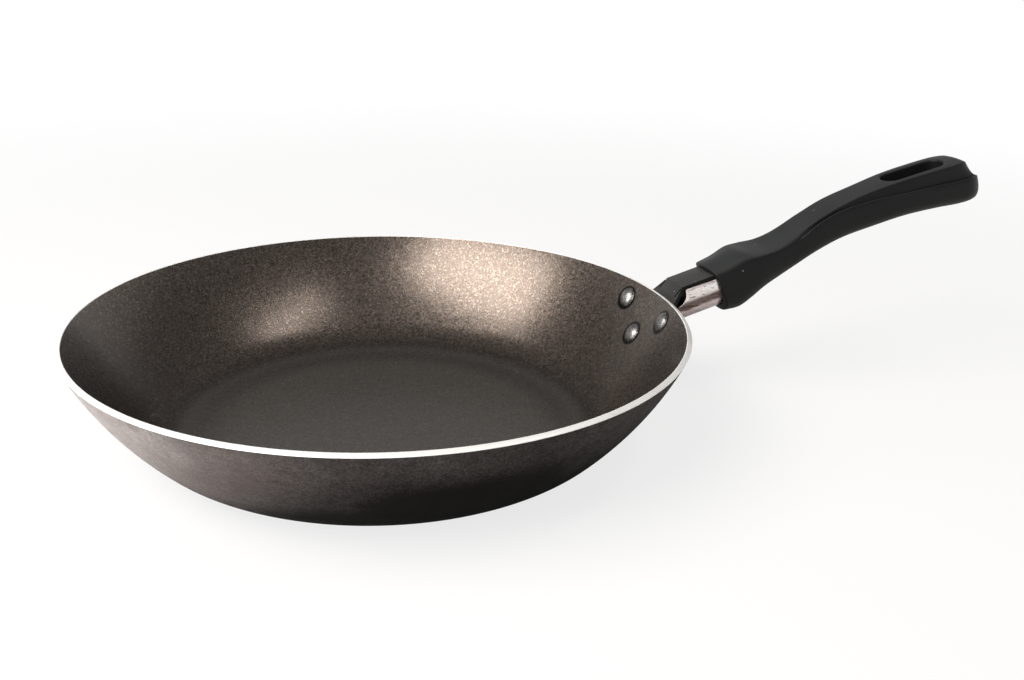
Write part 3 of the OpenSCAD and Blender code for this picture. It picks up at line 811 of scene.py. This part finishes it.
def half_section(a, length_mm, lip_mm):
    """Half of the grip's section at a distance a from the mouth, from top centre to bottom centre."""
    upper_l = length_mm - lip_mm
    t = a / length_mm
    upper = round_off(upper_l - a, TAIL_DEPTH)
    narrow = round_off(max(upper_l - a, 0.5), TAIL_TURN)
    left = length_mm - a + 0.05
    wide, low = round_off(left, TAIL_TURN), round_off(left, TAIL_DEPTH)
    drop = station(t, "ridge_drop")
    lower_h = (station(t, "height") - drop) / 2
    mid = station(t, "rise") - drop - lower_h
    ridge_z = mid + lower_h * low
    top = ridge_z + drop * upper
    w, rw = station(t, "width") * wide, station(t, "ridge") * wide
    land = min(station(t, "land") * narrow, rw - 0.5)
    crown = station(t, "crown") * upper
    # The edge and the groove keep some width where the top rounds away
    kept = max(upper, 0.3)
    edge = 0.8 * kept
    widest = mid + lower_h * low * 0.3
    groove_x = max(rw - 1.7 * kept, land + 0.1)
    crest_x = max(rw - 1.05 * kept, (groove_x + rw) / 2)
    groove_z = ridge_z - station(t, "groove") * upper
    edge_top = top - crown * 0.8
    edge_low = top - crown - edge * 0.5 * upper
    points = []
    for k in (0, 0.15, 0.3, 0.45, 0.6, 0.75):
        points.append((land * k, top - crown * 0.8 * (k / (1 - edge / land)) ** 2))
    points.append((land - edge, edge_top))
    flat_count = len(points)
    for inward, down in ((0.45, 0.18), (0.12, 0.52), (0, 1)):
        points.append((land - edge * inward, edge_top - (edge_top - edge_low) * down))
    for k in (0.2, 0.4, 0.6, 0.8):
        points.append((land + (groove_x - land) * k, edge_low + (groove_z - edge_low) * k))
    points.append((groove_x - 0.05, groove_z + 0.05 * upper))
    points.append((groove_x + 0.12, groove_z + 0.02))
    points.append((crest_x, ridge_z - 0.05))
    points.append((rw, ridge_z - 0.02))
    for outward, down in ((0.30, 0.10), (0.60, 0.25), (0.86, 0.46)):
        points.append((rw + (w - rw) * outward, ridge_z - down * lower_h * low))
    points = shouldered(points, flat_count, (w, widest), smooth_share((0.40 - t) / 0.14))
    bottom = mid - lower_h * low
    for k in range(0, 91, 5):
        c, s = math.cos(math.radians(k)), math.sin(math.radians(k))
        points.append((w * max(c, 0.0) ** 0.7, widest - (widest - bottom) * s**0.8))
    points[-1] = (0.0, points[-1][1])
    return points


def grip_ring(a, length_mm, lip_mm, inset):
    """Points of one closed ring round the grip, in the arm's frame and in millimetres, drawn in by inset."""
    half = half_section(a, length_mm, lip_mm)
    top, bottom = half[0][1], half[-1][1]
    centre = (top + bottom) / 2
    # The mouth leans back towards its underside and its sides, which fades out along the first 30 mm
    fade = max(0.0, 1 - a / 30)
    made = []
    for v, n in half + [(-v, n) for v, n in reversed(half[1:-1])]:
        size = math.hypot(v, n - centre)
        shrink = (size - inset) / size
        v, n = v * shrink, centre + (n - centre) * shrink
        lean, sweep = 0.15 * (top - n), (v / 12.5) ** 2
        made.append(Vector((a + fade * (lean + sweep), v, n)))
    return made


def arm_matrix(handle):
    """Frame of the arm: +X along the arm, +Z out of its top face, origin at the bend."""
    return Matrix.Translation((handle.bend_x, 0, handle.bend_z)) @ Matrix.Rotation(-handle.tilt, 4, "Y")


def stadium(length_mm, width_mm, count=16):
    """Outline of a slot with round ends."""
    half = (length_mm - width_mm) / 2
    points = []
    for side in (1, -1):
        for i in range(count + 1):
            a = math.radians(-90 + 180 * i / count) + (0 if side == 1 else math.pi)
            points.append((side * half + width_mm / 2 * math.cos(a), width_mm / 2 * math.sin(a)))
    return points


def prism(rings):
    """A closed bmesh through rings of points, grown from the first ring by extruding its edges."""
    made = bmesh.new()
    verts = [made.verts.new(point) for point in rings[0]]
    first = edges = [made.edges.new(pair) for pair in zip(verts, verts[1:] + verts[:1])]
    for ring in rings[1:]:
        grown = set(bmesh.ops.extrude_edge_only(made, edges=edges)["geom"])
        verts = [next(e.other_vert(v) for e in v.link_edges if e.other_vert(v) in grown) for v in verts]
        for vert, point in zip(verts, ring):
            vert.co = point
        edges = [made.edges.get(pair) for pair in zip(verts, verts[1:] + verts[:1])]
    caps = []
    for loop in (first, edges):
        caps += bmesh.ops.contextual_create(made, geom=loop)["faces"]
    bmesh.ops.poke(made, faces=caps)
    bmesh.ops.recalc_face_normals(made, faces=made.faces)
    return made


def cut(piece_mesh, cutters):
    """Cuts closed bmeshes out of a closed bmesh, and returns the result as a new bmesh."""
    whole = piece_mesh.calc_volume()
    body, *others = [placed_mesh(f"cut_{i}", part) for i, part in enumerate([piece_mesh, *cutters])]
    for other in others:
        modifier = body.modifiers.new("cut", "BOOLEAN")
        modifier.operation, modifier.object, modifier.solver = "DIFFERENCE", other, "MANIFOLD"
    bpy.context.view_layer.update()
    evaluated = body.evaluated_get(bpy.context.evaluated_depsgraph_get())
    result = bmesh.new()
    result.from_mesh(evaluated.to_mesh())
    if not 0 < result.calc_volume() < whole:
        raise RuntimeError("The cutters weren't taken out of the piece")
    for made in (body, *others):
        mesh = made.data
        bpy.data.objects.remove(made)
        bpy.data.meshes.remove(mesh)
    return result


class PAN_OT_grip(bpy.types.Operator):
    """Lofts the grip, and cuts its hanging slot, its mouth and the screw's recess"""

    bl_idname = "pan.grip"
    bl_label = "Grip"

    def execute(self, context):
        handle, colours = context.scene.handle_sizes, context.scene.pan_finish
        long, lip, mouth = handle.grip_length / MM, handle.lip / MM, handle.mouth_at / MM
        screw, hole, recess = handle.screw_at / MM, handle.screw_hole / MM, handle.screw_recess / MM
        cutters = [
            self.slot_cutter(handle, long, mouth),
            self.socket_cutter(mouth),
            self.pocket_cutter(),
            self.round_cutter(screw, hole / 2, HOLE_HEIGHTS, count=32),
            self.round_cutter(screw, recess / 2, RECESS_HEIGHTS, count=40),
        ]
        made = cut(self.loft(long, lip, mouth), cutters)
        bmesh.ops.remove_doubles(made, verts=made.verts, dist=0.004)
        bmesh.ops.scale(made, vec=(MM, MM, MM), verts=made.verts)
        bmesh.ops.transform(made, matrix=arm_matrix(handle), verts=made.verts)
        show(made, "grip_moulding_body", ["grip"], [grip_finish(colours)], sharp=42)
        return {"FINISHED"}

    def loft(self, long, lip, mouth):
        """The whole grip, in millimetres, with its mouth and its tail rounded off."""
        upper_l, steps = long - lip, 110
        start, end = 1.6, upper_l - 7.5
        # Each place is a distance from the mouth, and how far the ring there is drawn in
        places = [(0.0, 0.7), (0.12, 0.32), (0.42, 0.08), (0.8, 0.0)]
        places += [(start + (end - start) * i / steps, 0.0) for i in range(steps + 1)]
        places += [(upper_l - TAIL_DEPTH * (1 - math.sin(math.radians(k))), 0.0) for k in range(4, 88, 7)]
        tail_turns = (1, 8, 16, 24, 32, 40, 48, 56, 64, 72, 80, 90)
        places += [(upper_l + lip * math.sin(math.radians(k)), 0.0) for k in tail_turns]
        rings = []
        for a, inset in places:
            ring = grip_ring(a, long, lip, inset)
            rings.append([Vector((p.x + mouth, p.y, p.z)) for p in ring])
        return prism(rings)

    def slot_cutter(self, handle, long, mouth):
        """The hanging slot: straight below, and flared at the top by its rounded edge."""
        length_mm, width_mm, end = handle.slot_length / MM, handle.slot_width / MM, handle.slot_end / MM
        centre = mouth + long - end - length_mm / 2
        r = handle.slot_round / MM
        # Each level has its height, above the top face from the third on, and how far the slot is widened
        levels = [(-30.0, 0.0), (-6.0, 0.0), (-r - 0.05, 0.0)]
        for a in range(15, 82, 11):
            levels.append((-r + r * math.sin(math.radians(a)), r * (1 - math.cos(math.radians(a)))))
        levels.append((1.2, levels[-1][1] + 1.3))
        rings = []
        for level, grow in levels:
            ring = []
            for x, v in stadium(length_mm + 2 * grow, width_mm + 2 * grow):
                s = centre + x
                top = half_section(min(s - mouth, long - 8), long, handle.lip / MM)[0][1]
                share = min(abs(v) / 9.5, 1.0)
                height = level + top - 0.4 * share**2 if level > -5 else level + 10
                ring.append(Vector((s, v, height)))
            rings.append(ring)
        return prism(rings)

    def socket_cutter(self, mouth):
        """The socket for the flame guard: flat on top and round below."""
        outline = []
        for i in range(33):
            a = math.pi + math.pi * i / 32
            outline.append((SOCKET_RADIUS * math.cos(a), SOCKET_CENTRE + SOCKET_RADIUS * math.sin(a)))
        outline += [(SOCKET_RADIUS, SOCKET_TOP), (-SOCKET_RADIUS, SOCKET_TOP)]
        return self.bar(outline, mouth + SOCKET_REACH)

    def pocket_cutter(self):
        """The pocket for the bracket's arm."""
        half = POCKET_HALF
        outline = [(-half, POCKET_FLOOR), (half, POCKET_FLOOR), (half, POCKET_TOP), (-half, POCKET_TOP)]
        return self.bar(outline, POCKET_END)

    def bar(self, outline, end):
        """An outline drawn out along the arm, from before the mouth to its end."""
        return prism([[Vector((x, v, n)) for v, n in outline] for x in (BEFORE_MOUTH, end)])

    def round_cutter(self, x, radius, ends, count):
        """A round hole at right angles to the arm, between two heights."""
        turns = [2 * math.pi * i / count for i in range(count)]
        circle = [(x + radius * math.cos(a), radius * math.sin(a)) for a in turns]
        return prism([[Vector((*point, n)) for point in circle] for n in ends])


class PAN_OT_fasteners(bpy.types.Operator):
    """Gives the screw, washer and nut their zinc finish"""

    bl_idname = "pan.fasteners"
    bl_label = "Screw, washer and nut"

    def execute(self, context):
        finish = zinc_finish(context.scene.pan_finish)
        for name in ("grip_screw", "spring_washer", "square_nut"):
            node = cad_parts[name]
            node.data.materials.clear()
            node.data.materials.append(finish)
        return {"FINISHED"}


# ---------- stage ----------


# Each lamp: its place, the point it faces, its width and length, its power and its colour
LAMPS = {
    "lamp_left": ((-0.785, -0.271, 0.93), (0.05, 0.05, 0.02), (1.15, 0.56), 20, (1, 0.94, 0.88)),
    "lamp_right": ((0.50, -0.32, 1.13), (0.0, 0.08, 0.02), (0.62, 0.14), 2.1, (1, 0.95, 0.9)),
    "lamp_low": ((-0.95, -0.30, 0.22), (-0.10, -0.06, 0.03), (0.5, 0.3), 5, (1, 0.98, 0.97)),
}


class PAN_OT_stage(bpy.types.Operator):
    """Lays a pale floor, hangs three soft lamps over it and sets up the camera"""

    bl_idname = "pan.stage"
    bl_label = "Stage"

    def execute(self, context):
        scene = context.scene
        self.floor()
        self.world(scene)
        for name, values in LAMPS.items():
            self.lamp(name, *values)
        self.camera(scene)
        scene.view_settings.view_transform = "Standard"
        return {"FINISHED"}

    def floor(self):
        ground = bmesh.new()
        bmesh.ops.create_grid(ground, x_segments=1, y_segments=1, size=6)
        floor = placed_mesh("floor", ground)
        floor.data.materials.append(self.floor_finish())

    def lamp(self, name, place, target, size, power, tint):
        data = bpy.data.lights.new(name, "AREA")
        data.shape, data.size, data.size_y = "RECTANGLE", size[0], size[1]
        data.energy, data.color = power, tint
        lamp = placed(name, data)
        lamp.location = place
        lamp.rotation_euler = (Vector(target) - Vector(place)).to_track_quat("-Z", "Y").to_euler()

    def camera(self, scene):
        """Places the camera by its own axes: to its right, up and backwards."""
        camera = placed("camera", bpy.data.cameras.new("camera"))
        camera.data.sensor_width, camera.data.lens = 36.0, 42.1875
        camera.data.clip_start, camera.data.clip_end = 0.01, 50
        right = Vector((0.940434, -0.339301, 0.021407))
        up = Vector((0.100967, 0.338865, 0.935402))
        back = Vector((-0.324637, -0.877522, 0.352939))
        turn = Matrix((right, up, back)).transposed().to_4x4()
        camera.matrix_world = Matrix.Translation((-0.122206, -0.501309, 0.238445)) @ turn
        scene.camera = camera

    def floor_finish(self):
        """Matt near the pan, where it takes the shadow, and plain white farther off."""
        f = Finish("pale_floor")
        white = f.node("ShaderNodeEmission", {"Color": (1, 1, 1, 1), "Strength": 1.0})
        matt = f.node("ShaderNodeBsdfDiffuse", {"Color": (0.82, 0.82, 0.82, 1)})
        far = f.distance((0.06, 0, 0)).step(0.30, 0.95)
        share = f.seen(camera=0.78 + 0.22 * far, glossy=0.1 + 0.9 * far, through=0.8)
        return f.end(f.node("ShaderNodeMixShader", {0: share, 1: matt, 2: white}))

    def world(self, scene):
        """Bright walls under a dimmer ceiling, seen as white by the camera."""
        scene.world = bpy.data.worlds.new("studio")
        f = Finish("studio", scene.world)
        toward = f.node("ShaderNodeTexCoord", None, "Generated")
        ceiling = f.vector("DOT_PRODUCT", toward, (0, 0, 1), out="Value").step(0.10, 0.42)
        walls, dim, white = (
            f.node("ShaderNodeBackground", {"Color": (1, 1, 1, 1), "Strength": strength})
            for strength in (0.75, 0.24, 1.0)
        )
        lit = f.node("ShaderNodeMixShader", {0: ceiling, 1: walls, 2: dim})
        share = f.seen(camera=1, glossy=1 - ceiling, through=1)
        f.end(f.node("ShaderNodeMixShader", {0: share, 1: lit, 2: white}), "ShaderNodeOutputWorld")


class PAN_PT_sidebar(bpy.types.Panel):
    """Lists the sizes, the colours and the pieces"""

    bl_label = "Burnt frying pan"
    bl_idname = "PAN_PT_sidebar"
    bl_space_type = "VIEW_3D"
    bl_region_type = "UI"
    bl_category = "Pan"

    def draw(self, context):
        for group in (context.scene.pan_sizes, context.scene.handle_sizes, context.scene.pan_finish):
            box = self.layout.box()
            for name in group.__annotations__:
                box.prop(group, name)
        for operator in OPERATORS:
            self.layout.operator(operator.bl_idname)


OPERATORS = (
    PAN_OT_bowl,
    PAN_OT_rivets,
    PAN_OT_bracket,
    PAN_OT_guard,
    PAN_OT_grip,
    PAN_OT_fasteners,
    PAN_OT_stage,
)
GROUPS = {"pan_sizes": PanSizes, "handle_sizes": HandleSizes, "pan_finish": PanFinish}


def register():
    for group in GROUPS.values():
        bpy.utils.register_class(group)
    for operator in (*OPERATORS, PAN_PT_sidebar):
        bpy.utils.register_class(operator)
    for name, group in GROUPS.items():
        setattr(bpy.types.Scene, name, bpy.props.PointerProperty(type=group))


def unregister():
    for name in GROUPS:
        delattr(bpy.types.Scene, name)
    for made in (PAN_PT_sidebar, *reversed(OPERATORS), *GROUPS.values()):
        bpy.utils.unregister_class(made)


def main():
    register()
    for name in ("bowl", "rivets", "bracket", "guard", "grip", "fasteners", "stage"):
        getattr(bpy.ops.pan, name)()


if __name__ == "__main__":
    main()
